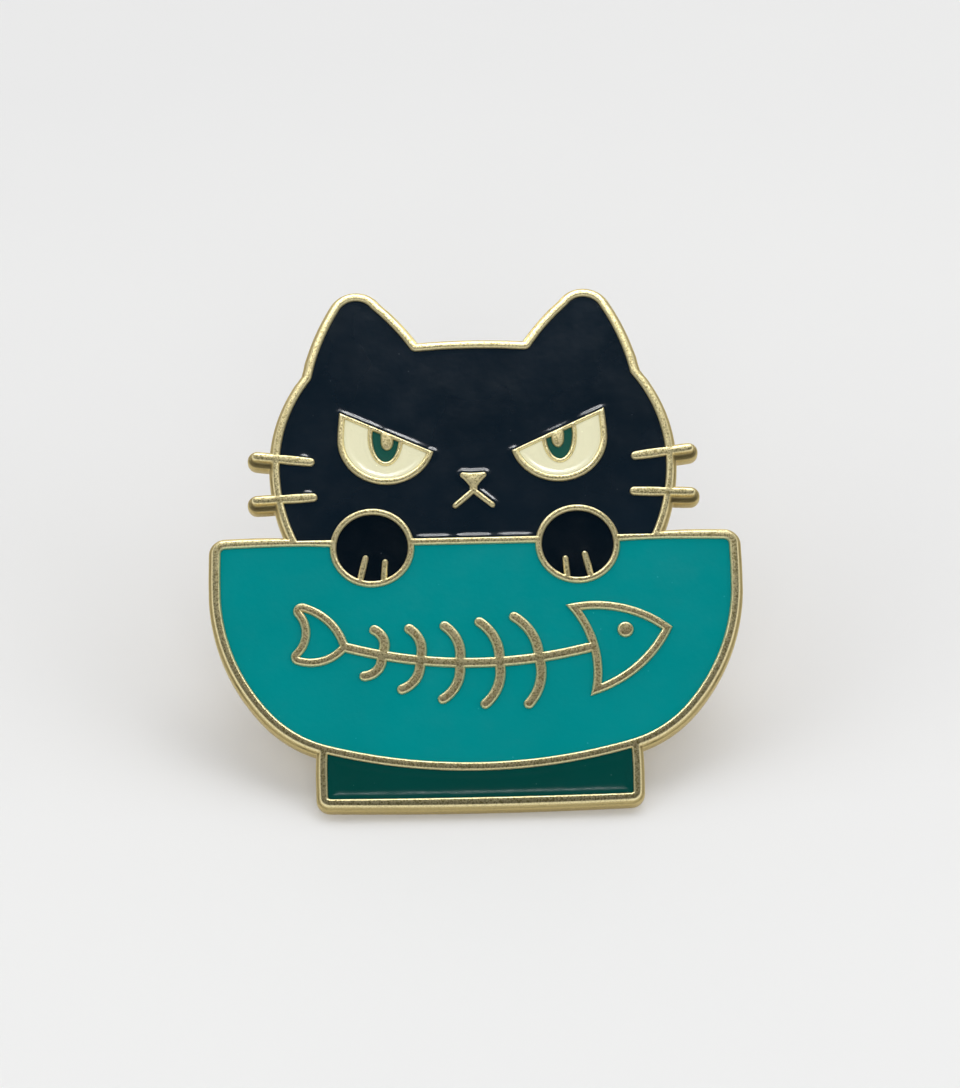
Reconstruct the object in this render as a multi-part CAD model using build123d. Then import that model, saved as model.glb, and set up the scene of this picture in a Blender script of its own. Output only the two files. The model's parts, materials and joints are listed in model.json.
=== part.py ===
"""Cat-in-a-bowl enamel pin with two needle posts and two butterfly clutches.

Frame: +Z up as worn, the enamelled front faces -Y, +X to the right seen from the front.
The origin is on the plate's flat back, midway between the two needle posts.
Outlines are drawn on the XZ plane, where the third sketch direction points to the front.
"""

from build123d import *
import math
import os

# Heights above the plate's flat back, towards the front (mm)
PLATE_T = 1.10       # to the top of the raised lines
FLOOR_T = 0.62       # to the floor under the enamel
ENAMEL_T = 0.97      # to the enamel's surface
LEDGE_T = 0.80       # to the ledge that runs round the raised outline

# Widths of the raised lines (mm)
LEDGE = 0.20         # how far the ledge stands out past the raised outline
HEAD_LINE = 0.45
BOWL_LINE = 0.53
FOOT_LINE = 0.50
PAW_LINE = 0.37
EYE_LINE = 0.38
BROW_LINE = 0.25
IRIS_LINE = 0.27
WHISKER_W = 0.53
TAB_W = 1.20         # width of the plate's tabs under the whiskers
MOUTH_W = 0.33
TOE_W = 0.35
MOTIF_W = 0.60

# Places of the drawing's main features (mm), all mirrored about x = 0
RIM_TOP = 1.10       # lower edge of the head's enamel, along the bowl's rim
RIM_LOW = 0.68       # upper edge of the bowl's enamel
FOOT_HALF = 9.08     # half width of the foot's enamel
FOOT_LOW = -15.50    # lower edge of the foot's enamel
HEAD_TOP = 14.32
EAR_NOTCH = (3.38, 14.18)
CHEEK_X, CHEEK_Z, CHEEK_LOW_R = 12.38, 6.10, 12.6
BOWL_LOW = -13.38    # lowest point of the bowl's enamel
BOWL_CORNER = 0.30
PAW_X, PAW_Z, PAW_R = 6.28, 0.55, 2.57
BROW_IN, BROW_OUT = (2.42, 6.84), (8.20, 9.60)
IRIS_X, IRIS_Z = 5.37, 7.90
IRIS_RX, IRIS_RZ = 1.09, 1.95
PUPIL_X, PUPIL_R, PUPIL_LOW = 5.28, 0.38, 7.02

# Bowl motif: a fish skeleton on a gentle arc
SPINE_R = 28.0       # radius of the spine's arc
SPINE_LOW = -7.05    # lowest point of the spine's centre line
RIBS = ((-5.8, 1.65), (-3.5, 2.1), (-1.1, 2.5), (1.3, 2.8), (3.7, 3.0))
RIB_LEAN = 14.0      # degrees that the ribs lean towards the tail
FISH_LINE = 0.50
FISH_HEAD_X, FISH_HEAD_L, FISH_HEAD_HALF = 6.1, 5.9, 3.0
FISH_EYE_R = 0.48
TAIL_X = -8.3
TAIL_TOP, TAIL_FORK, TAIL_FOOT = (-10.60, -3.50), (-10.10, -5.05), (-10.75, -6.45)

# Needle posts
POST_X = 7.0         # half the spacing of the posts
POST_R = 0.55
POST_TIP_R = 0.48    # where the taper meets the locking groove
FOOT_R, FOOT_TOP = 1.4, 0.30
SEAT_R, SEAT_DEPTH = 2.1, 0.15
GRIP_END = 2.0       # end of the straight length that the cloth sits on
GROOVE_R = 0.36
GROOVE_Y0, GROOVE_Y1 = 5.5, 6.0
POINT_Y0, POST_END = 6.2, 7.7

# Butterfly clutches, distances behind the plate's back
CLUTCH_Y = 2.2       # front of the base disc at rest
DISC_R, DISC_T = 5.6, 0.35
RIM_H, RIM_T = 0.40, 0.30
HOLE_R = 0.62        # hole for the needle in the base disc
CAP_R, CAP_WALL = 2.8, 0.25
CAP_H = 2.7          # from the disc's back face to the top of the cap
CAP_ROUND = 0.8
CAP_HOLE_R = 0.85
WINDOW_W, WINDOW_H = 3.9, 1.15
WING_T, WING_W = 0.26, 3.6
LOWER_LEAF_Y, UPPER_LEAF_Y = 2.88, 3.26  # middle of each wing's leaf
LEAF_END = 1.2       # how far a leaf reaches past the needle's axis
LEAF_NECK_W = 2.5    # leaf's width inside the cap
NECK_END = 2.5       # distance from the needle's axis where the leaf widens
WING_RISE = 4.05     # distance from the needle's axis to the upright of a wing
WING_BEND_R = 0.5
WING_TOP = 6.95      # centre of the wing's outward curl
CURL_R = 0.70
CURL_TAIL = 0.6
SQUEEZE = 0.7        # travel of each wing
BITE = 0.58          # distance from the needle's axis to the leaf's gripping edge
SLOT_W = 1.26

FRONT = Plane.XZ


def other_side(sketch):
    """The mirror image of a sketch about x = 0."""
    return mirror(sketch, about=Plane.YZ)


def mirrored(half):
    """A sketch and its mirror image about x = 0, joined."""
    return half + other_side(half)


def bar(p, q, width):
    """A straight stroke with round ends, from centre p to centre q."""
    return SlotArc(Line(p, q), width).face()


def arc_bar(p, mid, q, width):
    """A curved stroke with round ends."""
    return SlotArc(ThreePointArc(p, mid, q), width).face()


def ellipse_at(x, z, rx, rz):
    return Pos(x, z) * Ellipse(rx, rz)


def slab(sketch, low, high):
    """Extrude a front-view sketch between two heights above the plate's back."""
    return extrude(FRONT.offset(low) * sketch, amount=high - low)


# ---------------------------------------------------------------- outlines

def symmetric_face(*edges):
    """A face bounded by a chain of edges on the +x side and by its mirror image about x = 0."""
    mirror_edges = [mirror(edge, about=Plane.YZ) for edge in edges]
    return Sketch() + make_face(list(edges) + mirror_edges)


def head_outline():
    """Head with two ears, drawn from the top of the head down past the bowl's rim."""
    top = TangentArc((0, HEAD_TOP), EAR_NOTCH, tangent=(1, 0))
    ear_in = ThreePointArc(EAR_NOTCH, (4.44, 15.62), (5.80, 17.06))
    ear_tip = ThreePointArc(ear_in @ 1, (7.30, 17.74), (8.60, 16.86))
    ear_out = ThreePointArc(ear_tip @ 1, (9.68, 14.58), (10.38, 12.15))
    cheek_top = TangentArc((CHEEK_X, CHEEK_Z), ear_out @ 1, tangent=(0, 1))
    cheek_low = JernArc((CHEEK_X, CHEEK_Z), (0, -1), CHEEK_LOW_R, -27)
    close = Line(cheek_low @ 1, (0, (cheek_low @ 1).Y))
    return symmetric_face(top, ear_in, ear_tip, ear_out, cheek_top, cheek_low, close)


def bowl_inner():
    """The bowl inside its outline: a wide bottom arc, a tighter turn, a side arc and a straight top."""
    bottom = JernArc((0, BOWL_LOW), (1, 0), 33.9, 15.5)
    turn = JernArc(bottom @ 1, bottom % 1, 7.1, 33.0)
    side = JernArc(turn @ 1, turn % 1, 12.2, 41.5)
    corner_z = RIM_LOW - BOWL_CORNER
    wall = Line(side @ 1, ((side @ 1).X, corner_z))
    corner = JernArc(wall @ 1, (0, 1), BOWL_CORNER, 90)
    top = Line(corner @ 1, (0, RIM_LOW))
    return symmetric_face(bottom, turn, side, wall, corner, top)


def bowl_outline():
    return offset(bowl_inner(), BOWL_LINE, kind=Kind.ARC)


def foot_inner():
    height = 4.6
    return Pos(0, FOOT_LOW + height / 2) * RectangleRounded(2 * FOOT_HALF, height, 0.12)


def foot_outline():
    return offset(foot_inner(), FOOT_LINE, kind=Kind.ARC)


def whiskers():
    upper = bar((13.37, 6.75), (10.03, 6.33), WHISKER_W)
    lower = bar((13.36, 3.80), (9.87, 3.96), WHISKER_W)
    return mirrored(Sketch() + upper + lower)


def tabs():
    """The tabs of the plate that carry the whiskers' ends, a little low under them."""
    upper = bar((13.31, 6.61), (10.03, 6.19), TAB_W)
    lower = bar((13.30, 3.66), (9.87, 3.82), TAB_W)
    return mirrored(Sketch() + upper + lower)


def front_outline():
    """The silhouette of everything raised: head, whiskers, bowl and foot."""
    return head_outline() + whiskers() + bowl_outline() + foot_outline()


def plate_outline():
    """The plate under it, which stands out past it as a narrow ledge all round."""
    bowl = offset(bowl_inner(), BOWL_LINE + LEDGE, kind=Kind.ARC)
    foot = offset(foot_inner(), FOOT_LINE + LEDGE, kind=Kind.ARC)
    head = offset(head_outline(), LEDGE, kind=Kind.ARC)
    return head + tabs() + bowl + foot


def eye_outer():
    brow = Line(BROW_IN, BROW_OUT)
    lid = ThreePointArc(BROW_IN, (5.30, 4.73), (8.33, 7.85))
    corner = TangentArc(lid @ 1, BROW_OUT, tangent=lid % 1)
    return Sketch() + make_face([brow, lid, corner])


def under_brow(drop):
    """A large face whose top edge runs along the brow, moved down from it by drop."""
    turn = math.degrees(math.atan2(BROW_OUT[1] - BROW_IN[1], BROW_OUT[0] - BROW_IN[0]))
    return Pos(*BROW_IN) * Rot(0, 0, turn) * Pos(0, -5 - drop) * Rectangle(30, 10)


def eye_inner():
    """The eye inside its outline, with the thin brow line along its top."""
    over = Polyline(BROW_IN, BROW_OUT, (BROW_OUT[0], BROW_OUT[1] + 2), (BROW_IN[0], BROW_IN[1] + 2), close=True)
    tall = eye_outer() + make_face(over)
    return offset(tall, -EYE_LINE, kind=Kind.ARC) & under_brow(BROW_LINE)


def pupil():
    round_end = ellipse_at(PUPIL_X, PUPIL_LOW + 0.55, PUPIL_R, 0.55)
    stem = Pos(PUPIL_X, PUPIL_LOW + 1.75) * Rectangle(2 * PUPIL_R, 2.4)
    return round_end + stem


def iris_outer():
    return ellipse_at(IRIS_X, IRIS_Z, IRIS_RX, IRIS_RZ)


def iris_inner():
    return ellipse_at(IRIS_X, IRIS_Z, IRIS_RX - IRIS_LINE, IRIS_RZ - IRIS_LINE)


def paw_disc(radius):
    return Pos(PAW_X, PAW_Z) * Circle(radius)


def toe_lines():
    outer = bar((6.69, -0.12), (7.10, -1.85), TOE_W)
    inner = bar((5.50, -0.40), (5.62, -1.95), TOE_W)
    return Sketch() + outer + inner


def nose_and_mouth():
    nose = make_face(
        [
            Line((0, 5.42), (0.62, 5.42)),
            ThreePointArc((0.62, 5.42), (0.80, 5.33), (0.76, 5.12)),
            Line((0.76, 5.12), (0.24, 4.50)),
            Line((0.24, 4.50), (0.24, 4.05)),
            Line((0.24, 4.05), (0, 4.05)),
            Line((0, 4.05), (0, 5.42)),
        ]
    )
    leg = bar((0.06, 4.17), (1.15, 3.22), MOUTH_W)
    return mirrored(Sketch() + nose + leg)


# ---------------------------------------------------------------- fish-bone motif

def spine_point(x):
    """Height of the spine's centre line, and its slope in degrees."""
    height = SPINE_LOW + SPINE_R - math.sqrt(SPINE_R**2 - x * x)
    slope = math.degrees(math.asin(x / SPINE_R))
    return height, slope


def rib(x, half):
    """One bowed rib across the spine, leaning towards the tail."""
    z, slope = spine_point(x)
    turn = slope + RIB_LEAN
    up = Pos(x, z) * Rot(0, 0, turn) * arc_bar((-0.35, half), (0.22, half / 2), (0, 0), MOTIF_W)
    down = Pos(x, z) * Rot(0, 0, slope - RIB_LEAN) * arc_bar((-0.35, -half), (0.22, -half / 2), (0, 0), MOTIF_W)
    return Sketch() + up + down


def on_spine(x, sketch):
    """Move a sketch drawn at the origin to the spine at x, turned along it."""
    z, slope = spine_point(x)
    return Pos(x, z) * Rot(0, 0, slope) * sketch


def fish_head():
    """A blunt fish head at the right end of the spine."""
    gill = ThreePointArc((0, -FISH_HEAD_HALF), (0.75, 0), (0, FISH_HEAD_HALF))
    top = ThreePointArc((0, FISH_HEAD_HALF), (3.5, 0.72 * FISH_HEAD_HALF), (FISH_HEAD_L, 0.1))
    low = ThreePointArc((FISH_HEAD_L, 0.1), (3.5, -0.66 * FISH_HEAD_HALF), (0, -FISH_HEAD_HALF))
    return Sketch() + make_face([gill, top, low])


def fish_head_cell():
    inside = offset(fish_head(), -FISH_LINE, kind=Kind.ARC)
    eye = Pos(3.1, 0.6) * Circle(FISH_EYE_R)
    return on_spine(FISH_HEAD_X, inside - eye)


def fish_tail_cell():
    """The enamel inside the forked tail, at the left end of the spine."""
    root = (TAIL_X, spine_point(TAIL_X)[0])
    fork = ThreePointArc(TAIL_TOP, TAIL_FORK, TAIL_FOOT)
    top = ThreePointArc(TAIL_TOP, (-9.40, -4.15), root)
    low = ThreePointArc(root, (-9.60, -6.55), TAIL_FOOT)
    return Sketch() + make_face([fork, top, low])


def fish_spine():
    left, right = TAIL_X, FISH_HEAD_X + 0.6
    return arc_bar((left, spine_point(left)[0]), (0, SPINE_LOW), (right, spine_point(right)[0]), MOTIF_W)


def motif():
    tail = offset(fish_tail_cell(), FISH_LINE, kind=Kind.ARC)
    bones = fish_spine() + tail + on_spine(FISH_HEAD_X, fish_head())
    for x, half in RIBS:
        bones += rib(x, half)
    return bones


# ---------------------------------------------------------------- enamel cells

def head_cell():
    """The head inside its outline and above the rim, less every raised feature that stands in it."""
    inside = offset(head_outline(), -HEAD_LINE, kind=Kind.ARC)
    above_rim = Pos(0, RIM_TOP + 10) * Rectangle(40, 20)
    features = mirrored(eye_outer() + paw_disc(PAW_R)) + nose_and_mouth() + whiskers()
    return (inside & above_rim) - features


def paw_cell():
    return paw_disc(PAW_R - PAW_LINE) - toe_lines()


def eye_cell():
    return eye_inner() - iris_outer() - pupil()


def iris_cell():
    return (iris_inner() & under_brow(BROW_LINE)) - pupil()


def bowl_cell():
    return bowl_inner() - mirrored(paw_disc(PAW_R)) - motif()


def foot_cell():
    return foot_inner() - bowl_outline()


def cells():
    """Each enamel fill's node name and its outline."""
    return {
        "head_enamel": head_cell(),
        "left_paw_enamel": other_side(paw_cell()),
        "right_paw_enamel": paw_cell(),
        "left_eye_enamel": other_side(eye_cell()),
        "right_eye_enamel": eye_cell(),
        "left_iris_enamel": other_side(iris_cell()),
        "right_iris_enamel": iris_cell(),
        "bowl_enamel": bowl_cell(),
        "fish_head_enamel": fish_head_cell(),
        "fish_tail_enamel": fish_tail_cell(),
        "foot_enamel": foot_cell(),
    }


# ---------------------------------------------------------------- plate

def pin_body(enamel_cells):
    """The cast plate with its raised lines, the enamel cells and the two post seats sunk into it."""
    body = slab(plate_outline(), 0, LEDGE_T) + slab(front_outline(), LEDGE_T, PLATE_T)
    for cell in enamel_cells.values():
        body -= slab(cell, FLOOR_T, PLATE_T)
    for side in (-1, 1):
        body -= behind(side * POST_X) * turned((0, -SEAT_DEPTH), (SEAT_R, -SEAT_DEPTH), (SEAT_R, 1), (0, 1))
    return body


# ---------------------------------------------------------------- posts and clutches

def behind(x):
    """A place on the back at this x, whose third direction is the needle's axis, away from the plate."""
    return Plane(origin=(x, 0, 0), x_dir=(1, 0, 0), z_dir=(0, 1, 0))


def turned(*points):
    """A solid turned about the needle's axis from (radius, distance behind the plate) corners."""
    face = make_face(Polyline(*points, close=True))
    return revolve(Plane.XZ * face, Axis.Z)


def post():
    """Needle post: foot disc, straight grip length, slim taper, locking groove and point."""
    return turned(
        (0, -SEAT_DEPTH),
        (FOOT_R, -SEAT_DEPTH),
        (FOOT_R, FOOT_TOP - 0.1),
        (FOOT_R - 0.1, FOOT_TOP),
        (POST_R, FOOT_TOP),
        (POST_R, GRIP_END),
        (POST_TIP_R, GROOVE_Y0),
        (GROOVE_R, GROOVE_Y0 + 0.12),
        (GROOVE_R, GROOVE_Y1 - 0.12),
        (POST_TIP_R, GROOVE_Y1),
        (POST_TIP_R, POINT_Y0),
        (0.10, POST_END - 0.1),
        (0, POST_END),
    )


def post_solder():
    """Ring of solder from the edge of the post's foot disc out to the seat's wall."""
    return turned((FOOT_R, -SEAT_DEPTH), (SEAT_R, -SEAT_DEPTH), (SEAT_R, 0), (FOOT_R, FOOT_TOP - 0.12))


def clutch_base():
    """Base disc with a rolled edge and a countersunk hole that guides the needle."""
    back = CLUTCH_Y + DISC_T
    return turned(
        (HOLE_R + 0.15, CLUTCH_Y),
        (DISC_R - 0.12, CLUTCH_Y),
        (DISC_R, CLUTCH_Y + 0.12),
        (DISC_R, back + RIM_H - 0.1),
        (DISC_R - 0.1, back + RIM_H),
        (DISC_R - RIM_T, back + RIM_H),
        (DISC_R - RIM_T, back),
        (HOLE_R, back),
        (HOLE_R, CLUTCH_Y + 0.15),
    )


def clutch_cap():
    """Domed cap on the base disc, with a window for each wing and a hole for the needle's point."""
    low = CLUTCH_Y + DISC_T
    top = low + CAP_H
    inner = CAP_R - CAP_WALL
    profile = make_face(
        [
            Line((inner, low), (CAP_R, low)),
            Line((CAP_R, low), (CAP_R, top - CAP_ROUND)),
            TangentArc((CAP_R, top - CAP_ROUND), (CAP_R - CAP_ROUND, top), tangent=(0, 1)),
            Line((CAP_R - CAP_ROUND, top), (CAP_HOLE_R, top)),
            Line((CAP_HOLE_R, top), (CAP_HOLE_R, top - CAP_WALL)),
            Line((CAP_HOLE_R, top - CAP_WALL), (CAP_R - CAP_ROUND, top - CAP_WALL)),
            TangentArc((CAP_R - CAP_ROUND, top - CAP_WALL), (inner, top - CAP_ROUND), tangent=(1, 0)),
            Line((inner, top - CAP_ROUND), (inner, low)),
        ]
    )
    cap = revolve(Plane.XZ * profile, Axis.Z)
    window = Pos(0, 0, low + WINDOW_H / 2) * Box(WINDOW_W, 2 * CAP_R + 1, WINDOW_H)
    return cap - window


def wing(leaf_y):
    """Sprung wing: a flat leaf with a slot round the needle, an upright, and a curl to press on."""
    foot = Line((-LEAF_END, leaf_y), (WING_RISE - WING_BEND_R, leaf_y))
    bend = TangentArc(foot @ 1, (WING_RISE, leaf_y + WING_BEND_R), tangent=(1, 0))
    rise = Line(bend @ 1, (WING_RISE, WING_TOP))
    curl = ThreePointArc(rise @ 1, (WING_RISE + CURL_R, WING_TOP + CURL_R), (WING_RISE + 2 * CURL_R, WING_TOP))
    tail = Line(curl @ 1, (WING_RISE + 2 * CURL_R, WING_TOP - CURL_TAIL))
    path = Plane.YZ * Wire([foot, bend, rise, curl, tail])
    section = Plane(origin=path @ 0, z_dir=path % 0) * Rectangle(WING_T, WING_W)
    strip = sweep(section, path)
    slot_len = BITE + SQUEEZE + BITE + 0.05
    slot = Pos(0, slot_len / 2 - BITE, leaf_y) * Box(SLOT_W, slot_len, 1)
    shoulder = (WING_W - LEAF_NECK_W) / 2
    for side in (-1, 1):
        x = side * (LEAF_NECK_W + shoulder) / 2
        length = LEAF_END + NECK_END
        strip -= Pos(x, NECK_END - length / 2 - 0.1, leaf_y) * Box(shoulder, length + 0.2, 1)
    return strip - slot


def clutch(x, side):
    """The pieces of one butterfly clutch, by node name."""
    place = behind(x)
    return {
        side + "_clutch_base": place * clutch_base(),
        side + "_clutch_cap": place * clutch_cap(),
        side + "_clutch_lower_wing": place * wing(LOWER_LEAF_Y),
        side + "_clutch_upper_wing": place * Rot(0, 0, 180) * wing(UPPER_LEAF_Y),
    }


# ---------------------------------------------------------------- the whole pin

def build():
    enamel_cells = cells()
    nodes = {"pin_body": pin_body(enamel_cells)}
    for name, cell in enamel_cells.items():
        nodes[name] = slab(cell, FLOOR_T, ENAMEL_T)
    for side, x in (("left", -POST_X), ("right", POST_X)):
        nodes[side + "_post"] = behind(x) * post()
        nodes[side + "_post_solder"] = behind(x) * post_solder()
        nodes.update(clutch(x, side))
    return nodes


os.makedirs("parts", exist_ok=True)
for node_name, shape in build().items():
    export_step(shape, "parts/" + node_name + ".step")
    print(node_name, len(shape.solids()), round(shape.volume, 4))
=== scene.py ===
import json
import math

import bpy
import numpy as np
from mathutils import Matrix, Vector
from mathutils.geometry import delaunay_2d_cdt
from mathutils.kdtree import KDTree

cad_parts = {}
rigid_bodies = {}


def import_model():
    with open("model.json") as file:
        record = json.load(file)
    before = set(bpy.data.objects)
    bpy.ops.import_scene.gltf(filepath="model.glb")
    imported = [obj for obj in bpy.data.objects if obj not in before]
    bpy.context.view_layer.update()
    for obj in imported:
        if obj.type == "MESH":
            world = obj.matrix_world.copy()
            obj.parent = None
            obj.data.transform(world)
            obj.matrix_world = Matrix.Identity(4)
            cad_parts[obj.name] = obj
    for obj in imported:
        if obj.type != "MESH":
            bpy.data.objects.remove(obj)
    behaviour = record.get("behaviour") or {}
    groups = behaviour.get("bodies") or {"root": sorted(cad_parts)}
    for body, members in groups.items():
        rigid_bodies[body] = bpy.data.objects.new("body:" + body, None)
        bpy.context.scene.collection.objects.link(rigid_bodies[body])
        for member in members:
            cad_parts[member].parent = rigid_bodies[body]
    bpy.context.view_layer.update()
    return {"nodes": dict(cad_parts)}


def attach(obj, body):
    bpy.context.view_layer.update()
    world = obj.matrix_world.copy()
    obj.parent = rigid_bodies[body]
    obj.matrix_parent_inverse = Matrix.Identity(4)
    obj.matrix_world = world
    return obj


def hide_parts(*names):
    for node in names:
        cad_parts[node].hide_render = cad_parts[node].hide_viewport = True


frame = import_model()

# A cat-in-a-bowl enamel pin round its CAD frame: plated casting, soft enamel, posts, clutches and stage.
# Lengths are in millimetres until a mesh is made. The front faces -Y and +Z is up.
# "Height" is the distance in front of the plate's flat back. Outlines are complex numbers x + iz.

MM = 0.001

# Heights of the CAD plate
LINE_TOP = 1.10
ENAMEL_TOP = 0.97
FLOOR = 0.62

# Section across a raised line: (distance in from its edge, drop below its top); negative is over the enamel
LINE_EDGE = (
    (-0.04, -0.48), (-0.02, -0.22), (0.0, -0.14), (0.02, -0.095), (0.05, -0.05),
    (0.085, -0.018), (0.11, -0.004), (0.135, 0.0),
)
# Section across the plate's outer edge, up to its ledge: (distance in from the outline, height)
LEDGE_EDGE = ((0.0, 0.52), (0.012, 0.66), (0.04, 0.74), (0.09, 0.79), (0.15, 0.815), (0.19, 0.82))
# Step from the ledge to the raised outline: (distance in from that outline, rise)
STEP = (
    (-0.03, 0.0), (-0.01, 0.05), (0.005, 0.12), (0.025, 0.18), (0.055, 0.23), (0.095, 0.265), (0.145, 0.28),
)
# Section across the rounded back edge: (distance in from the outline, height)
BACK_EDGE = ((0.0, 0.22), (0.02, 0.12), (0.06, 0.05), (0.12, 0.012), (0.2, 0.0))
# Rings of points inside an enamel cell, and the level pool of enamel that clings to the lines round it
ENAMEL_RINGS = (0.05, 0.10, 0.14, 0.18, 0.22, 0.26, 0.31, 0.37, 0.44, 0.52, 0.62, 0.75, 1.0)
ENAMEL_LEVEL = 0.88
CLING = 0.07         # the most that enamel climbs towards a line
CLING_REACH = 0.26   # how far from the line its lip reaches
# Where the head's enamel climbs the lines most: (x, z, radius, share of CLING)
HEAD_CLING = (
    (0.0, 5.3, 1.3, 1.0), (0.9, 3.9, 1.0, 1.0), (-6.9, 9.0, 1.6, 0.9), (-4.3, 7.8, 1.6, 0.8),
    (-2.4, 6.8, 0.5, 0.9), (2.4, 6.8, 0.5, 0.7), (7.4, 9.3, 0.9, 0.9), (5.2, 8.3, 1.0, 0.6),
    (-2.5, 1.3, 1.2, 0.9), (0.0, 1.3, 1.2, 1.0), (2.5, 1.3, 1.2, 0.9),
    (-10.4, 6.6, 0.3, 0.7), (-10.2, 4.2, 0.3, 0.7),
)

# Heights between which the front's colour gives way to the walls' darker gold, which is painted shade
WALL_SHADE_HEIGHTS = (1.00, 0.84)

POST_X = 7.0


# ---------------------------------------------------------------- outlines taken from the CAD nodes

def flat_loops(node, height):
    """Closed outlines of the CAD node's flat face at this height, with the face on the left."""
    mesh = frame["nodes"][node].data
    mesh.calc_loop_triangles()
    place = {}
    number = []
    for vertex in mesh.vertices:
        x, y, z = vertex.co / MM
        on_face = abs(y + height) < 1e-3
        number.append(place.setdefault((round(x, 3), round(z, 3)), len(place)) if on_face else -1)
    edges = set()
    for triangle in mesh.loop_triangles:
        corners = [number[v] for v in triangle.vertices]
        if -1 in corners or len(set(corners)) < 3:
            continue
        for a, b in zip(corners, corners[1:] + corners[:1]):
            if (b, a) in edges:
                edges.remove((b, a))
            else:
                edges.add((a, b))
    points = np.array([complex(*p) for p in place])
    follow = dict(sorted(edges))
    loops = []
    while follow:
        start = min(follow)
        chain = [start]
        at = follow.pop(start)
        while at != start:
            chain.append(at)
            at = follow.pop(at)
        loops.append(points[chain])
    return loops


def smooth(loop, step):
    """Even samples along an outline that keep its corners and round out its arcs."""
    chord = np.roll(loop, -1) - loop
    length = abs(chord)
    heading = chord / length
    turn = np.angle(heading / np.roll(heading, 1))
    sharp = abs(turn) > 0.42
    bend = np.where(sharp, 0, turn / (np.roll(length, 1) + length))
    leave = heading * np.exp(-1j * length * np.where(np.roll(sharp, -1), bend, np.roll(bend, -1)))
    arrive = heading * np.exp(1j * length * np.where(sharp, np.roll(bend, -1), bend))
    arrive = np.roll(arrive, 1)
    corner = abs(np.angle(leave / arrive)) > 0.24
    mean = (leave + arrive) / abs(leave + arrive)
    leave = np.where(corner, leave, mean) * length
    arrive = np.roll(np.where(corner, arrive, mean), -1) * length
    t = np.arange(0, 1, 0.125)[:, None]
    curve = (2 * t**3 - 3 * t**2 + 1) * loop + (t**3 - 2 * t**2 + t) * leave
    curve = curve + (3 * t**2 - 2 * t**3) * np.roll(loop, -1) + (t**3 - t**2) * arrive
    dense = curve.T.ravel()
    marks = np.flatnonzero(corner) * 8 if corner.any() else np.array([0])
    dense = np.roll(dense, -marks[0])
    dense = np.append(dense, dense[0])
    marks = np.append(marks - marks[0], len(dense) - 1)
    samples = []
    for first, last in zip(marks, marks[1:]):
        piece = dense[first : last + 1]
        run = np.append(0, np.cumsum(abs(np.diff(piece))))
        at = np.linspace(0, run[-1], max(1, round(run[-1] / step)) + 1)[:-1]
        samples.append(np.interp(at, run, piece.real) + 1j * np.interp(at, run, piece.imag))
    return np.concatenate(samples)


def ring(samples, distance):
    """Points at this distance to the left of an outline, or to the right if negative."""
    into = samples - np.roll(samples, 1)
    out = np.roll(samples, -1) - samples
    into, out = into / abs(into), out / abs(out)
    turn = np.angle(out / into)
    mean = (into + out) / abs(into + out)
    points = list(samples + 1j * mean * distance / np.maximum(np.cos(turn / 2), 0.3))
    for k in np.flatnonzero((abs(turn) > 0.35) & (turn * distance < 0)):
        count = 2 + int(abs(turn[k] * distance) / 0.05)
        sweep = np.exp(1j * turn[k] * np.linspace(0, 1, count + 1))
        points[k] = samples[k] + 1j * into[k] * sweep[0] * distance
        points += list(samples[k] + 1j * into[k] * sweep[1:] * distance)
    return np.array(points)


def to_segment(at, a, b):
    """Distance from points to the segments from a to b."""
    along = ((at - a) * np.conj(b - a)).real / np.maximum(abs(b - a) ** 2, 1e-12)
    return abs(at - a - np.clip(along, 0, 1) * (b - a))


def inside(at, loops):
    """Which points lie inside the loops, where a loop within a loop is a hole."""
    a = np.concatenate(loops)
    b = np.concatenate([np.roll(loop, -1) for loop in loops])
    found = np.zeros(len(at), bool)
    slope = (b.real - a.real) / np.where(b.imag == a.imag, 1, b.imag - a.imag)
    for part in np.array_split(np.arange(len(at)), len(at) // 1500 + 1):
        p = at[part][:, None]
        crosses = (a.imag > p.imag) != (b.imag > p.imag)
        found[part] = (crosses & (a.real + (p.imag - a.imag) * slope > p.real)).sum(1) % 2 == 1
    return found


class Outlines:
    """Sampled closed outlines, with the distance from any point to them."""

    def __init__(self, loops, step):
        self.loops = [smooth(loop, step) for loop in loops]
        self.points = np.concatenate(self.loops)
        self.after = np.concatenate([np.roll(loop, -1) for loop in self.loops])
        self.before = np.concatenate([np.roll(loop, 1) for loop in self.loops])
        self.tree = KDTree(len(self.points))
        for k, p in enumerate(self.points):
            self.tree.insert((p.real, p.imag, 0), k)
        self.tree.balance()

    def distance(self, at):
        near = np.array([self.tree.find((p.real, p.imag, 0))[1] for p in at], int)
        ahead = to_segment(at, self.points[near], self.after[near])
        return np.minimum(ahead, to_segment(at, self.points[near], self.before[near]))

    def rings(self, distances):
        """Points at each distance to the left of the outlines, where nothing else comes nearer."""
        found = []
        for distance in distances:
            for loop in self.loops:
                points = ring(loop, distance)
                found.append(points[self.distance(points) > abs(distance) * 0.985 - 0.001])
        return np.concatenate(found)


def thinned(points, gap):
    """The points with every one dropped that lies within gap of an earlier one."""
    tree = KDTree(len(points))
    for k, p in enumerate(points):
        tree.insert((p.real, p.imag, 0), k)
    tree.balance()
    dropped = set()
    for k, p in enumerate(points):
        if k not in dropped:
            dropped |= {j for _, j, _ in tree.find_range((p.real, p.imag, 0), gap) if j > k}
    return points[[k for k in range(len(points)) if k not in dropped]]


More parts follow.
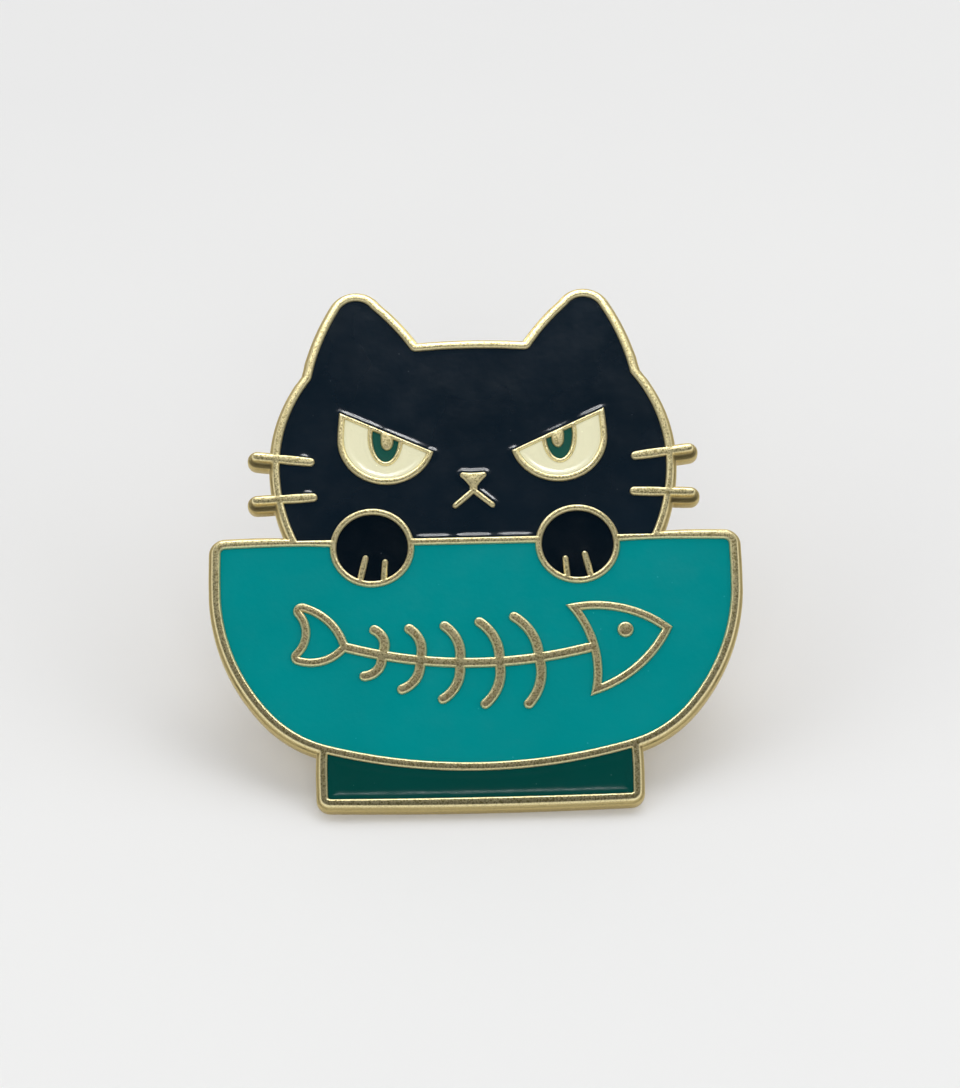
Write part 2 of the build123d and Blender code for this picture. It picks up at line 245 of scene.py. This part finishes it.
def grid_points(loops, outlines, spacing, clear):
    """A staggered grid of points inside the loops that keeps clear of the outlines."""
    everything = np.concatenate(loops)
    xs = np.arange(everything.real.min(), everything.real.max(), spacing)
    zs = np.arange(everything.imag.min(), everything.imag.max(), spacing * 0.87)
    rows = [xs + 1j * z + (k % 2) * spacing / 2 for k, z in enumerate(zs)]
    points = np.concatenate(rows)
    points = points[inside(points, loops)]
    return points[outlines.distance(points) > clear]


def triangulate(loops, extra):
    """Triangles over the region inside the loops: points, faces, and the place of each loop sample."""
    fixed = np.concatenate(loops)
    edges = []
    for loop in loops:
        first = len(edges)
        edges += [(first + k, first + (k + 1) % len(loop)) for k in range(len(loop))]
    points = np.concatenate([fixed, extra])
    result = delaunay_2d_cdt([Vector((p.real, p.imag)) for p in points], edges, [], 0, 1e-6)
    verts = np.array([complex(v.x, v.y) for v in result[0]])
    faces = np.array(result[2])
    place = {}
    for new, old in enumerate(result[3]):
        for k in old:
            place[k] = new
    a, b, c = verts[faces].T
    flipped = ((b - a) * np.conj(c - a)).imag > 0
    faces[flipped] = faces[flipped][:, ::-1]
    faces = faces[inside((a + b + c) / 3, loops)]
    return verts, faces, [place[k] for k in range(len(fixed))]


# ---------------------------------------------------------------- meshes

def make_piece(name, verts, faces, body, nodes, material):
    """A closed, smooth mesh from points in millimetres that rides on a body and replaces its CAD nodes."""
    used = sorted({v for face in faces for v in face})
    number = {v: k for k, v in enumerate(used)}
    mesh = bpy.data.meshes.new(name)
    points = [tuple(c * MM for c in verts[v]) for v in used]
    mesh.from_pydata(points, [], [[number[v] for v in face] for face in faces])
    mesh.update()
    mesh.shade_smooth()
    mesh.materials.append(material)
    piece = bpy.data.objects.new(name, mesh)
    bpy.context.scene.collection.objects.link(piece)
    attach(piece, body)
    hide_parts(*nodes)
    return piece


def cast(loops, front_points, front_height, back_points, back_height):
    """Points and faces of a closed solid between a front and a back surface over the same loops."""
    verts, faces, front_rim = triangulate(loops, front_points)
    heights = front_height(verts)
    points = [(p.real, -h, p.imag) for p, h in zip(verts, heights)]
    count = len(points)
    back_verts, back_faces, back_rim = triangulate(loops, back_points)
    points += [(p.real, -h, p.imag) for p, h in zip(back_verts, back_height(back_verts))]
    faces = [tuple(face) for face in faces]
    faces += [tuple(count + v for v in face[::-1]) for face in back_faces]
    first = 0
    for loop in loops:
        order = range(first, first + len(loop))
        for k, j in zip(order, list(order[1:]) + [first]):
            faces.append((front_rim[k], count + back_rim[k], count + back_rim[j], front_rim[j]))
        first += len(loop)
    return points, faces


def section(table, at):
    distances, values = zip(*table)
    return np.interp(at, distances, values)


def turned(profile, x, segments=72):
    """Points and faces of a closed profile (radius, y) turned about the needle's axis at x."""
    angles = [2 * math.pi * k / segments for k in range(segments)]
    verts, rows = [], []
    for radius, y in profile:
        if radius < 1e-6:
            rows.append([len(verts)] * segments)
            verts.append((x, y, 0))
        else:
            rows.append(list(range(len(verts), len(verts) + segments)))
            verts += [(x + radius * math.cos(a), y, radius * math.sin(a)) for a in angles]
    faces = []
    for low, high in zip(rows, rows[1:] + rows[:1]):
        for k in range(segments):
            j = (k + 1) % segments
            face = [low[k], low[j], high[j], high[k]]
            face = [v for n, v in enumerate(face) if v != face[n - 1]]
            if len(face) > 2:
                faces.append(tuple(face))
    return verts, faces


def rounded(corners, radius, steps=4, closed=True):
    """A profile with its corners rounded, from (a, b) points; those on the axis stay sharp."""
    points = [complex(*p) for p in corners]
    result = []
    for k, p in enumerate(points):
        ends = not closed and k in (0, len(points) - 1)
        if ends or abs(p.real) < 1e-6:
            result.append((p.real, p.imag))
            continue
        before, after = points[k - 1] - p, points[(k + 1) % len(points)] - p
        reach = min(radius, abs(before) * 0.45, abs(after) * 0.45)
        a, b = p + before / abs(before) * reach, p + after / abs(after) * reach
        for t in np.linspace(0, 1, steps + 1):
            q = (1 - t) ** 2 * a + 2 * t * (1 - t) * p + t**2 * b
            result.append((q.real, q.imag))
    return result


def thick_grid(outer, inner, keep, around):
    """Points and faces of a closed shell between two grids of points, over the kept cells."""
    rows, cols = outer.shape[:2]
    verts = [tuple(p) for p in outer.reshape(-1, 3)] + [tuple(p) for p in inner.reshape(-1, 3)]
    half = rows * cols
    faces = []
    for r, c in np.argwhere(keep):
        c2 = (c + 1) % cols
        quad = [r * cols + c, r * cols + c2, (r + 1) * cols + c2, (r + 1) * cols + c]
        faces.append(tuple(quad))
        faces.append(tuple(half + v for v in quad[::-1]))
        sides = ((r - 1, c), (r, c + 1), (r + 1, c), (r, c - 1))
        for (nr, nc), a, b in zip(sides, quad, quad[1:] + quad[:1]):
            if around:
                nc %= keep.shape[1]
            if 0 <= nr < keep.shape[0] and 0 <= nc < keep.shape[1] and keep[nr, nc]:
                continue
            faces.append((b, a, half + a, half + b))
    return verts, faces


def soften(piece, width, segments=2):
    bevel = piece.modifiers.new("soft edges", "BEVEL")
    bevel.width = width * MM
    bevel.segments = segments
    bevel.limit_method = "ANGLE"
    bevel.angle_limit = math.radians(40)
    bevel.harden_normals = True


# ---------------------------------------------------------------- materials

def add(tree, kind, inputs=None, **settings):
    """A new shader node, with its settings and its inputs given as values or as (node, output)."""
    made = tree.nodes.new(kind)
    for name, value in settings.items():
        setattr(made, name, value)
    for name, value in (inputs or {}).items():
        if isinstance(value, tuple) and isinstance(value[0], bpy.types.Node):
            tree.links.new(value[0].outputs[value[1]], made.inputs[name])
        else:
            made.inputs[name].default_value = value
    return made


def noise(tree, coords, scale, detail=2.0, rough=0.5):
    inputs = {"Vector": (coords, "Object"), "Scale": scale, "Detail": detail, "Roughness": rough}
    return add(tree, "ShaderNodeTexNoise", inputs)


def ramp(tree, source, low, high, to_low=0.0, to_high=1.0):
    inputs = {"Value": source, "From Min": low, "From Max": high, "To Min": to_low, "To Max": to_high}
    return add(tree, "ShaderNodeMapRange", inputs)


def blend_colour(tree, factor, a, b):
    made = add(tree, "ShaderNodeMix", data_type="RGBA")
    for socket, value in ((made.inputs[0], factor), (made.inputs[6], a), (made.inputs[7], b)):
        if isinstance(value, tuple) and isinstance(value[0], bpy.types.Node):
            tree.links.new(value[0].outputs[value[1]], socket)
        else:
            socket.default_value = value if isinstance(value, float) else (*value, 1)
    return made


def multiplied(tree, a, b, operation="MULTIPLY"):
    return add(tree, "ShaderNodeMath", {0: a, 1: b}, operation=operation)


def material(name):
    made = bpy.data.materials.new(name)
    made.use_nodes = True
    tree = made.node_tree
    shader = tree.nodes["Principled BSDF"]
    coords = add(tree, "ShaderNodeTexCoord")
    return made, tree, shader, coords


def bump(tree, shader, source, strength, depth):
    made = add(tree, "ShaderNodeBump", {"Height": source, "Strength": strength, "Distance": depth * MM})
    tree.links.new(made.outputs[0], shader.inputs["Normal"])
    return made


def plating(name, pale, deep, wall, rough):
    """Sand-blasted gold plating: dark grains on the flats, fewer on the edges, and on the walls a darker
    gold with fewer grains, which is painted shade.
    """
    made, tree, shader, coords = material(name)
    grain = noise(tree, coords, 8500, 2, 0.6)
    cloud = noise(tree, coords, 700, 3, 0.5)
    speck = ramp(tree, (grain, 0), 0.36, 0.56)
    mixed = multiplied(tree, (speck, 0), (ramp(tree, (cloud, 0), 0.3, 0.7, 0.75, 1.0), 0))
    face = blend_colour(tree, (mixed, 0), deep, pale)
    edge = blend_colour(tree, (ramp(tree, (speck, 0), 0.0, 1.0, 0.65, 1.0), 0), deep, pale)
    facing = add(tree, "ShaderNodeSeparateXYZ", {0: (coords, "Normal")})
    flat = ramp(tree, (facing, 1), -0.88, -0.99)
    front = blend_colour(tree, (flat, 0), (edge, 2), (face, 2))
    # Below the front, the walls take the darker wall gold: painted shade, not the plating's own colour.
    place = add(tree, "ShaderNodeSeparateXYZ", {0: (coords, "Object")})
    side = ramp(tree, (place, 1), -WALL_SHADE_HEIGHTS[0] * MM, -WALL_SHADE_HEIGHTS[1] * MM)
    painted_wall_shade = blend_colour(tree, (ramp(tree, (speck, 0), 0.0, 1.0, 0.75, 1.0), 0), deep, wall)
    colour = blend_colour(tree, (side, 0), (front, 2), (painted_wall_shade, 2))
    tree.links.new(colour.outputs[2], shader.inputs["Base Color"])
    shader.inputs["Metallic"].default_value = 1.0
    roughness = ramp(tree, (speck, 0), 0.0, 1.0, rough + 0.06, rough)
    tree.links.new(roughness.outputs[0], shader.inputs["Roughness"])
    bump(tree, shader, (grain, 0), 0.4, 0.015)
    return made


def enamel(name, colour, shade, rough=0.17):
    """Glossy soft enamel, a little uneven in colour and surface, with a few specks of dust."""
    made, tree, shader, coords = material(name)
    cloud = noise(tree, coords, 160, 2, 0.5)
    base = blend_colour(tree, (ramp(tree, (cloud, 0), 0.3, 0.7), 0), shade, colour)
    dust = add(tree, "ShaderNodeTexVoronoi", {"Vector": (coords, "Object"), "Scale": 900.0})
    mote = ramp(tree, (dust, 0), 0.05, 0.03)
    lighter = tuple(min(1.0, c * 1.25 + 0.02) for c in colour)
    tint = blend_colour(tree, (mote, 0), (base, 2), lighter)
    tree.links.new(tint.outputs[2], shader.inputs["Base Color"])
    haze = ramp(tree, (noise(tree, coords, 500, 3, 0.6), 0), 0.3, 0.7, rough - 0.03, rough + 0.05)
    tree.links.new(haze.outputs[0], shader.inputs["Roughness"])
    shader.inputs["Specular IOR Level"].default_value = 0.35
    bump(tree, shader, (noise(tree, coords, 3000, 2, 0.4), 0), 0.8, 0.012)
    return made


def bright_metal(name, colour, dull, rough, grain, depth):
    """Stamped or drawn metal with a fine grain and faint dull patches."""
    made, tree, shader, coords = material(name)
    patch = noise(tree, coords, 260, 3, 0.6)
    fine = noise(tree, coords, grain, 3, 0.6)
    base = blend_colour(tree, (ramp(tree, (patch, 0), 0.35, 0.7), 0), colour, dull)
    tree.links.new(base.outputs[2], shader.inputs["Base Color"])
    shader.inputs["Metallic"].default_value = 1.0
    roughness = ramp(tree, (fine, 0), 0.3, 0.7, rough - 0.05, rough + 0.08)
    tree.links.new(roughness.outputs[0], shader.inputs["Roughness"])
    bump(tree, shader, (fine, 0), 0.3, depth)
    return made


# The third colour, the walls' darker gold, is painted shade that stands in for the shade on the casting's
# walls.
GOLD = plating("pale gold plating", (1.0, 0.89, 0.52), (0.44, 0.36, 0.15), (0.62, 0.50, 0.23), 0.41)
NAVY = enamel("navy enamel", (0.0045, 0.0110, 0.0190), (0.0030, 0.0085, 0.0150))
# The paws' navy is the head's navy made darker: painted shade on the paws.
SHADED_PAW_NAVY = enamel("paw navy enamel darkened as painted shade", (0.0012, 0.0050, 0.0095), (0.0008, 0.0036, 0.0070))
TEAL = enamel("teal enamel", (0.0, 0.240, 0.247), (0.0, 0.227, 0.234))
GREEN = enamel("dark green enamel", (0.001, 0.054, 0.046), (0.0005, 0.048, 0.040))
IRIS = enamel("iris green enamel", (0.012, 0.085, 0.065), (0.009, 0.070, 0.052))
CREAM = enamel("cream enamel", (0.81, 0.785, 0.545), (0.77, 0.745, 0.51))
NEEDLE = bright_metal("plated needle steel", (0.78, 0.70, 0.48), (0.70, 0.62, 0.42), 0.22, 9000, 0.006)
SOLDER = bright_metal("soft solder", (0.56, 0.55, 0.52), (0.42, 0.41, 0.39), 0.38, 2500, 0.03)
BRASS = bright_metal("stamped brass", (0.86, 0.68, 0.34), (0.74, 0.56, 0.26), 0.20, 6000, 0.008)
SPRING = bright_metal("sprung brass strip", (0.84, 0.68, 0.38), (0.72, 0.56, 0.30), 0.24, 7000, 0.008)


# ---------------------------------------------------------------- the cast plate

def make_plate():
    """The plated casting: rounded raised lines, a stepped outer edge and a flat back with two seats."""
    step = 0.12
    raised = flat_loops("pin_body", LINE_TOP)
    back = flat_loops("pin_body", 0.0)
    raised.sort(key=lambda loop: -np.ptp(loop.real))
    back.sort(key=lambda loop: -np.ptp(loop.real))
    rim = Outlines([back[0][::-1]], step)
    outline = Outlines([raised[0]], step)
    cells = Outlines(raised[1:], step)
    seats = Outlines(back[1:], step)

    line_rings = cells.rings([d for d, _ in LINE_EDGE if d != 0])
    rim_rings = rim.rings([d for d, _ in LEDGE_EDGE[1:]])
    step_rings = outline.rings([d for d, _ in STEP])
    points = np.concatenate([cells.points, line_rings, rim_rings, step_rings])
    points = thinned(points[rim.distance(points) > 0.01], 0.012)
    points = points[inside(points, rim.loops)]

    def front_height(at):
        near = cells.distance(at)
        near[inside(at, cells.loops) & (near > 1e-4)] *= -1
        height = LINE_TOP + section(LINE_EDGE, near)
        height[near < LINE_EDGE[0][0] + 1e-4] = FLOOR
        rise = np.where(inside(at, outline.loops), 1, -1) * outline.distance(at)
        outer = section(LEDGE_EDGE, rim.distance(at)) + section(STEP, rise)
        return np.minimum(height, outer)

    back_rings = rim.rings([d for d, _ in BACK_EDGE[1:]])
    back_points = np.concatenate([back_rings, seats.points, seats.rings([-0.03, 0.05])])
    back_points = back_points[inside(back_points, rim.loops)]

    def back_height(at):
        height = section(BACK_EDGE, rim.distance(at))
        near = seats.distance(at)
        in_seat = inside(at, seats.loops) & (near > 0.02)
        height[in_seat] = 0.15
        return height

    verts, faces = cast(rim.loops, points, front_height, back_points, back_height)
    return make_piece("cast_plate", verts, faces, "pin", ["pin_body"], GOLD)


# ---------------------------------------------------------------- enamel fills

def make_enamel(node, look, share=0.2, spots=(), reach=CLING_REACH):
    """One enamel fill: a level pool that climbs the lines round it, more so near the spots."""
    loops = flat_loops(node, ENAMEL_TOP)
    edge = Outlines(loops, 0.12)
    pool = grid_points(edge.loops, edge, 0.9, ENAMEL_RINGS[-1])
    points = thinned(np.concatenate([edge.rings(ENAMEL_RINGS), pool]), 0.02)
    points = points[inside(points, edge.loops)]

    def front_height(at):
        climb = np.full(len(at), share)
        for x, z, radius, amount in spots:
            fade = np.exp(-((abs(at - complex(x, z)) / radius) ** 4))
            climb = np.maximum(climb, share + (amount - share) * fade)
        return ENAMEL_LEVEL + climb * CLING * np.exp(-((edge.distance(at) / reach) ** 3))

    def back_height(at):
        return np.full(len(at), FLOOR + 0.01)

    verts, faces = cast(edge.loops, points, front_height, np.zeros(0, complex), back_height)
    return make_piece(node + "_fill", verts, faces, "pin", [node], look)


make_plate()
make_enamel("head_enamel", NAVY, 0.1, HEAD_CLING)
make_enamel("bowl_enamel", TEAL, 0.1)
make_enamel("foot_enamel", GREEN, 1.1, reach=0.42)
make_enamel("fish_head_enamel", TEAL)
make_enamel("fish_tail_enamel", TEAL)
for side in ("left", "right"):
    make_enamel(side + "_paw_enamel", SHADED_PAW_NAVY, 0.15)
    make_enamel(side + "_eye_enamel", CREAM, 1.1, reach=0.34)
    make_enamel(side + "_iris_enamel", IRIS)


# ---------------------------------------------------------------- posts and clutches

def make_post(side, x):
    profile = [
        (0, -0.14), (1.4, -0.14), (1.4, 0.21), (1.3, 0.3), (0.72, 0.3), (0.56, 0.42),
        (0.55, 2.0), (0.48, 5.5), (0.37, 5.63), (0.36, 5.75), (0.37, 5.87), (0.48, 6.0),
        (0.48, 6.2), (0.30, 6.95), (0.12, 7.55), (0, 7.7),
    ]
    verts, faces = turned(rounded(profile, 0.08), x, 48)
    make_piece(side + "_needle_post", verts, faces, "pin", [side + "_post"], NEEDLE)


def make_solder(side, x):
    """A concave fillet of solder, a little lumpy, from the foot disc out to the seat's wall."""
    profile = [
        (1.38, -0.14), (2.09, -0.14), (2.09, -0.01), (1.9, 0.0),
        (1.72, 0.03), (1.58, 0.08), (1.47, 0.15), (1.38, 0.19),
    ]
    verts, faces = turned(profile, x, 96)
    lumpy = []
    for px, y, z in verts:
        turn = math.atan2(z, px - x)
        swell = 0.5 + 0.25 * math.sin(3 * turn + x) + 0.15 * math.sin(7 * turn + 2)
        swell += 0.1 * math.sin(13 * turn)
        lumpy.append((px, y + (0.04 * swell if y > -0.005 else 0), z))
    make_piece(side + "_solder_fillet", lumpy, faces, "pin", [side + "_post_solder"], SOLDER)


def make_base(side, x):
    """The clutch's stamped base: a disc with a rolled rim, a stepped web and a countersunk eyelet."""
    profile = [
        (0.8, 2.2), (1.05, 2.215), (3.2, 2.215), (3.4, 2.26), (4.5, 2.26), (4.7, 2.215), (5.4, 2.21),
        (5.56, 2.3), (5.6, 2.42), (5.6, 2.82), (5.52, 2.93), (5.42, 2.95), (5.32, 2.9), (5.29, 2.72),
        (5.2, 2.57), (4.7, 2.545), (4.5, 2.55), (3.4, 2.55), (3.2, 2.55), (0.7, 2.55), (0.63, 2.5),
        (0.62, 2.4),
    ]
    verts, faces = turned(rounded(profile, 0.05, 2), x, 96)
    name, nodes = side + "_clutch_dish", [side + "_clutch_base"]
    make_piece(name, verts, faces, side + "_clutch_disc", nodes, BRASS)


def make_cap(side, x):
    """The clutch's domed cap, with a window for each wing."""
    low, top, radius, wall, turn_r, hole = 2.55, 5.25, 2.8, 0.25, 0.8, 0.85
    window_top = low + 1.15
    heights = [low, low + 0.1, *np.linspace(low + 0.2, window_top - 0.06, 4)]
    heights += [window_top, window_top + 0.15, top - turn_r]
    outer = [(radius, h) for h in heights]
    inner = [(radius - wall, h) for h in heights]
    for a in np.linspace(0, math.pi / 2, 9)[1:]:
        outer.append((radius - turn_r + turn_r * math.cos(a), top - turn_r + turn_r * math.sin(a)))
        tight = turn_r - wall
        inner.append((radius - turn_r + tight * math.cos(a), top - turn_r + tight * math.sin(a)))
    for r, dent in ((1.7, 0.0), (1.45, -0.03), (1.2, -0.05), (1.0, -0.05), (hole, -0.02)):
        outer.append((r, top + dent))
        inner.append((r, top - wall + dent))
    half = math.asin(1.88 / (radius - wall))
    angles = []
    for centre in (-math.pi / 2, math.pi / 2):
        angles += list(centre + np.linspace(-half, half, 25))
        angles += list(centre + half + np.linspace(0, math.pi - 2 * half, 27)[1:-1])
    angles = np.array(angles)
    ring_x, ring_z = np.cos(angles), np.sin(angles)

    def shell(profile):
        return np.array([[(x + r * c, h, r * s) for c, s in zip(ring_x, ring_z)] for r, h in profile])

    keep = np.ones((len(outer) - 1, len(angles)), bool)
    in_window = np.tile(np.append(np.ones(24, bool), np.zeros(26, bool)), 2)
    keep[: heights.index(window_top), in_window] = False
    verts, faces = thick_grid(shell(inner), shell(outer), keep, True)
    name, nodes = side + "_clutch_hood", [side + "_clutch_cap"]
    piece = make_piece(name, verts, faces, side + "_clutch_hub", nodes, BRASS)
    soften(piece, 0.05)


def wing_path(leaf_y):
    """Centre line of a wing, (distance from the needle, y), with points where its width changes."""
    bend_r, rise, top, curl = 0.5, 4.05, 6.95, 0.70
    along = (
        -1.2, -1.05, -0.9, -0.75, -0.58, -0.3, 0.0, 0.4, 0.8,
        1.33, 1.5, 1.9, 2.3, 2.5, 2.6, 2.75, 3.1, rise - bend_r,
    )
    path = [(a, leaf_y) for a in along]
    bend = np.linspace(0, math.pi / 2, 9)[1:]
    path += [(rise - bend_r + bend_r * math.sin(a), leaf_y + bend_r - bend_r * math.cos(a)) for a in bend]
    path += [(rise, y) for y in np.linspace(leaf_y + bend_r, top, 12)[1:]]
    over = np.linspace(0, math.pi, 17)[1:]
    path += [(rise + curl - curl * math.cos(a), top + curl * math.sin(a)) for a in over]
    path += [(rise + 2 * curl, top - d) for d in (0.15, 0.3, 0.45, 0.58)]
    return np.array(path)


def make_wing(side, which, x):
    """A sprung wing: slotted leaf, upright with a stamped rib, and a curl to press on."""
    leaf_y, away = (2.88, -1) if which == "lower" else (3.26, 1)
    path = wing_path(leaf_y)
    run = np.append(0, np.cumsum(np.hypot(*np.diff(path, axis=0).T)))
    ahead = np.gradient(path, axis=0)
    ahead /= np.hypot(*ahead.T)[:, None]
    normal = np.stack([-ahead[:, 1], ahead[:, 0]], 1)
    outward = (0.2, 0.42, 0.63, 0.95, 1.25, 1.5, 1.72, 1.8)
    across = np.array([*(-a for a in outward[::-1]), 0.0, *outward])
    end = run[-1] - run
    corner = np.clip(1 - end / 0.6, 0, 1)
    width = 1.8 - 0.6 * (1 - np.sqrt(1 - corner**2))
    grid = {}
    for face, lift in (("out", 0.13), ("in", -0.13)):
        rows = []
        for (a, y), (na, ny), half in zip(path, normal, width):
            row = []
            for w in across:
                upright = np.clip((y - leaf_y - 0.9) / 0.4, 0, 1) * np.clip((6.7 - y) / 0.4, 0, 1)
                rib = 0.05 * upright * math.exp(-((w / 0.45) ** 2)) if a > 3 else 0.0
                offset = lift - rib
                row.append((x - away * w * half / 1.8, y + ny * offset, away * (a + na * offset)))
            rows.append(row)
        grid[face] = np.array(rows)
    middle_a = (path[:-1, 0] + path[1:, 0]) / 2
    middle_w = (across[:-1] + across[1:]) / 2
    on_leaf = np.arange(len(path) - 1) < 17
    keep = np.ones((len(path) - 1, len(across) - 1), bool)
    neck = on_leaf & (middle_a < 2.5)
    keep[np.ix_(neck, abs(middle_w) > 1.25)] = False
    slot = on_leaf & (middle_a > -0.58) & (middle_a < 1.33)
    keep[np.ix_(slot, abs(middle_w) < 0.63)] = False
    verts, faces = thick_grid(grid["out"], grid["in"], keep, False)
    name = f"{side}_{which}_wing_strip"
    body, nodes = f"{side}_{which}_wing", [f"{side}_clutch_{which}_wing"]
    piece = make_piece(name, verts, faces, body, nodes, SPRING)
    soften(piece, 0.05)


for side, x in (("left", -POST_X), ("right", POST_X)):
    make_post(side, x)
    make_solder(side, x)
    make_base(side, x)
    make_cap(side, x)
    make_wing(side, "lower", x)
    make_wing(side, "upper", x)


# ---------------------------------------------------------------- stage, camera and light

# The pin leans back on a table: on its foot's lower back edge and on the lower wings of its clutches.
LEAN_POINT = Vector((0, 0, -16.2)) * MM
TABLE_ALONG = Vector((0, 7.9, 10.6)).normalized()
TABLE_UP = Vector((1, 0, 0)).cross(TABLE_ALONG)
if TABLE_UP.y > 0:
    TABLE_UP = -TABLE_UP


def make_table():
    """A large pale sheet under and behind the pin, clear from behind so that the pin's back can be seen."""
    made, tree, shader, coords = material("pale table")
    cloud = noise(tree, coords, 14, 3, 0.5)
    base = blend_colour(tree, (ramp(tree, (cloud, 0), 0.3, 0.7), 0), (0.86, 0.86, 0.86), (0.88, 0.88, 0.875))
    tree.links.new(base.outputs[2], shader.inputs["Base Color"])
    shader.inputs["Roughness"].default_value = 0.75
    shader.inputs["Specular IOR Level"].default_value = 0.1
    bump(tree, shader, (noise(tree, coords, 2200, 3, 0.5), 0), 0.1, 0.01)
    facing = add(tree, "ShaderNodeNewGeometry")
    clear = add(tree, "ShaderNodeBsdfTransparent")
    mix = add(tree, "ShaderNodeMixShader")
    tree.links.new(facing.outputs["Backfacing"], mix.inputs[0])
    tree.links.new(shader.outputs[0], mix.inputs[1])
    tree.links.new(clear.outputs[0], mix.inputs[2])
    tree.links.new(mix.outputs[0], tree.nodes["Material Output"].inputs[0])
    centre = LEAN_POINT - TABLE_UP * 0.03 * MM
    side = Vector((1, 0, 0))
    signs = ((-1, -1), (1, -1), (1, 1), (-1, 1))
    corners = [centre + side * sx * 1.5 + TABLE_ALONG * sy * 1.5 for sx, sy in signs]
    mesh = bpy.data.meshes.new("table")
    mesh.from_pydata([tuple(c) for c in corners], [], [(0, 1, 2, 3)])
    mesh.update()
    if mesh.polygons[0].normal.dot(TABLE_UP) < 0:
        mesh.flip_normals()
    mesh.materials.append(made)
    table = bpy.data.objects.new("table", mesh)
    bpy.context.scene.collection.objects.link(table)


def make_camera():
    """A long lens that looks at the face from 22 degrees below its normal, rolled by 1.3 degrees."""
    tilt, roll, distance = math.radians(22), math.radians(1.3), 220 * MM
    right = Vector((math.cos(roll), 0, -math.sin(roll)))
    along = Vector((math.sin(roll), 0, math.cos(roll)))
    up = math.cos(tilt) * along - math.sin(tilt) * Vector((0, 1, 0))
    back = -math.cos(tilt) * Vector((0, 1, 0)) - math.sin(tilt) * along
    data = bpy.data.cameras.new("camera")
    data.lens = 36 * 3608 / 1088
    camera = bpy.data.objects.new("camera", data)
    camera.matrix_world = Matrix((right, up, back)).transposed().to_4x4()
    camera.location = Vector((0, -LINE_TOP, 0)) * MM + back * distance + (right * 0.30 + up * 0.55) * MM
    bpy.context.scene.collection.objects.link(camera)
    bpy.context.scene.camera = camera


def area_light(name, toward, distance, size, power, mirrored):
    """A lamp that is either seen only in the glossy surfaces or not seen in them at all."""
    data = bpy.data.lights.new(name, "AREA")
    data.shape = "RECTANGLE"
    data.size, data.size_y = size
    data.energy = power
    light = bpy.data.objects.new(name, data)
    toward = Vector(toward).normalized()
    light.location = toward * distance
    light.visible_glossy = mirrored
    light.visible_diffuse = not mirrored
    light.rotation_mode = "QUATERNION"
    light.rotation_quaternion = toward.to_track_quat("Z", "Y")
    bpy.context.scene.collection.objects.link(light)
    return light


def light_only(light, pieces):
    """Limit a lamp to some pieces."""
    receivers = bpy.data.collections.new(light.name)
    for piece in pieces:
        receivers.objects.link(piece)
    light.light_linking.receiver_collection = receivers


def make_world():
    """A pale surround, dim straight ahead; the glossy surfaces mirror one that is dark over a wider cone."""
    world = bpy.data.worlds.new("studio")
    bpy.context.scene.world = world
    world.use_nodes = True
    tree = world.node_tree
    coords = add(tree, "ShaderNodeTexCoord")
    dim = Vector((0, -0.970, 0.243))
    toward = add(tree, "ShaderNodeVectorMath", {0: (coords, "Generated"), 1: dim}, operation="DOT_PRODUCT")
    plain = ramp(tree, (toward, "Value"), 0.76, 0.945, 0.89, 0.03)
    mirrored = ramp(tree, (toward, "Value"), -0.05, 0.84, 0.80, 0.01)
    glossy = add(tree, "ShaderNodeLightPath").outputs["Is Glossy Ray"]
    strength = add(tree, "ShaderNodeMix", {"A": (plain, 0), "B": (mirrored, 0)})
    tree.links.new(glossy, strength.inputs["Factor"])
    background = tree.nodes["Background"]
    background.inputs["Color"].default_value = (1.0, 1.0, 1.0, 1)
    tree.links.new(strength.outputs[0], background.inputs["Strength"])


make_table()
make_camera()
make_world()
strip = area_light("back strip", (0.14, -0.68, 0.74), 0.9, (0.45, 0.06), 2.4, True)
light_only(strip, [piece for piece in bpy.data.objects if piece.name.endswith("_fill")])
area_light("head lamp", (0.0, -0.50, 0.87), 0.060, (0.060, 0.025), 0.036, True)
area_light("top softbox", (0.14, -0.68, 0.74), 0.9, (0.6, 0.5), 1.2, False)
area_light("left softbox", (-0.86, -0.50, -0.05), 0.9, (0.6, 0.6), 0.6, False)
area_light("right softbox", (0.86, -0.50, -0.05), 0.9, (0.6, 0.6), 1.05, False)
area_light("front softbox", (0.0, -0.93, -0.37), 0.9, (0.5, 0.5), 2.05, False)
bpy.context.scene.view_settings.view_transform = "Standard"
